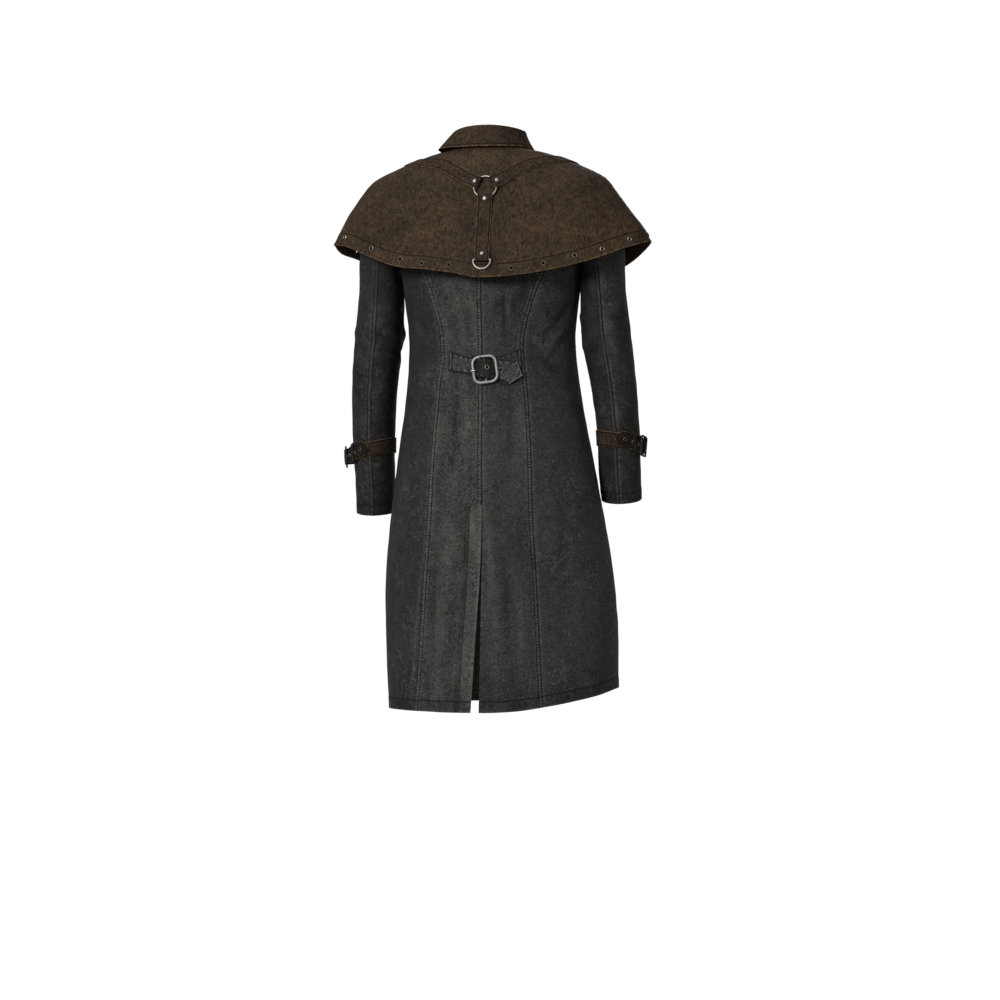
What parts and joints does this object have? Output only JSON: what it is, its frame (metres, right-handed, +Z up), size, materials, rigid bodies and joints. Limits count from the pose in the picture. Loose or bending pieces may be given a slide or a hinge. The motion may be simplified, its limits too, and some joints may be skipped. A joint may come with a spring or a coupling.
{
  "type": "long overcoat with shoulder cape",
  "caption": "Knee-length overcoat in charcoal twill with a brown shoulder cape, folded collar, ringed shoulder straps, buckled back belt, buckled sleeve straps and a back vent.",
  "frame": {"origin": "between the shoulders at the base of the neck, in the middle of the worn coat, where the wearer's shoulders carry it", "axes": "+Z up along the wearer's back, -Y the way the wearer faces, +X to the wearer's left"},
  "size_m": [0.6199, 0.3366, 1.1231],
  "materials": {
    "coat_twill": "washed charcoal twill, matt",
    "cape_twill": "washed dark brown twill, worn at the edges",
    "strap_twill": "doubled brown twill straps, worn edges",
    "steel": "polished nickel-plated steel",
    "button": "dark horn-like plastic"
  },
  "bodies": {
    "garment": {"back_left": "coat_twill", "back_right": "coat_twill", "belt_buckle": "steel", "belt_left": "coat_twill", "belt_prong": "steel", "belt_right": "coat_twill", "button_1": "button", "button_2": "button", "button_3": "button", "button_4": "button", "button_5": "button", "cape_back": "cape_twill", "cape_front_left": "cape_twill", "cape_front_right": "cape_twill", "collar_fall": "cape_twill", "collar_stand": "cape_twill", "front_left": "coat_twill", "front_right": "coat_twill", "o_ring": "steel", "rivet_left": "steel", "rivet_low": "steel", "rivet_right": "steel", "rivet_top": "steel", "side_back_left": "coat_twill", "side_back_right": "coat_twill", "sleeve_band_left": "strap_twill", "sleeve_band_right": "strap_twill", "sleeve_buckle_left": "steel", "sleeve_buckle_right": "steel", "sleeve_keeper_left": "coat_twill", "sleeve_keeper_right": "coat_twill", "sleeve_tab_left": "strap_twill", "sleeve_tab_right": "strap_twill", "strap_centre": "strap_twill", "strap_left": "strap_twill", "strap_right": "strap_twill", "topsleeve_left": "coat_twill", "topsleeve_right": "coat_twill", "undersleeve_left": "coat_twill", "undersleeve_right": "coat_twill"},
    "d_ring": {"d_ring": "steel"}
  },
  "joints": [
    {"name": "d_ring_swing", "type": "hinge", "parent": "garment", "child": "d_ring", "pos_m": [-0.00914, 0.16151, -0.20706], "axis": [0.9999, 0.0135, -0.0093], "range_deg": [0, 110]}
  ]
}
